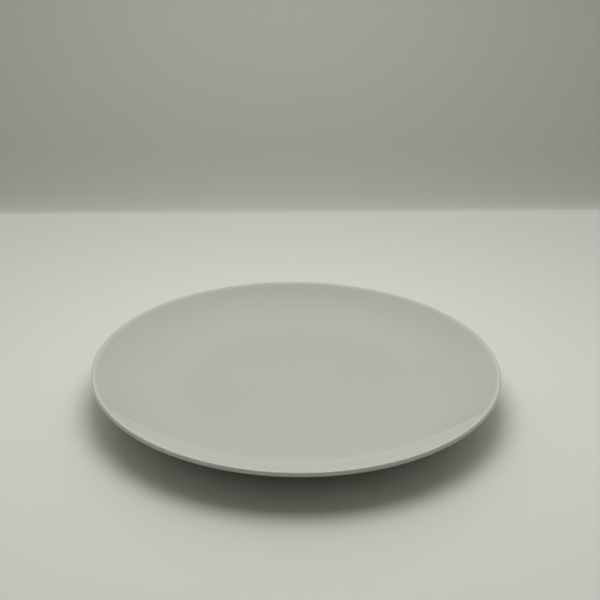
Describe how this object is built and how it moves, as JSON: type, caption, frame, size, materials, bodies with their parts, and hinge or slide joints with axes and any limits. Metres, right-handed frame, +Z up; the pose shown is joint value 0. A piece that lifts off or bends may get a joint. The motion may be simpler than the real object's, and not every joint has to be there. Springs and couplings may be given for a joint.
{
  "type": "coupe dinner plate",
  "caption": "Round coupe dinner plate in pale gloss glaze: a shallow dish that curves up from a flat well to a softly rolled lip, on a bare foot ring.",
  "frame": {"origin": "centre of the foot ring's contact face, on the table", "axes": "+Z up along the plate's axis; X and Y are free, because the plate is round"},
  "size_m": [0.27, 0.27, 0.027],
  "materials": {
    "fired_clay": "matte",
    "gloss_glaze": "gloss"
  },
  "bodies": {
    "root": {"clay_body": "fired_clay", "face_glaze": "gloss_glaze", "base_glaze": "gloss_glaze"}
  },
  "joints": []
}
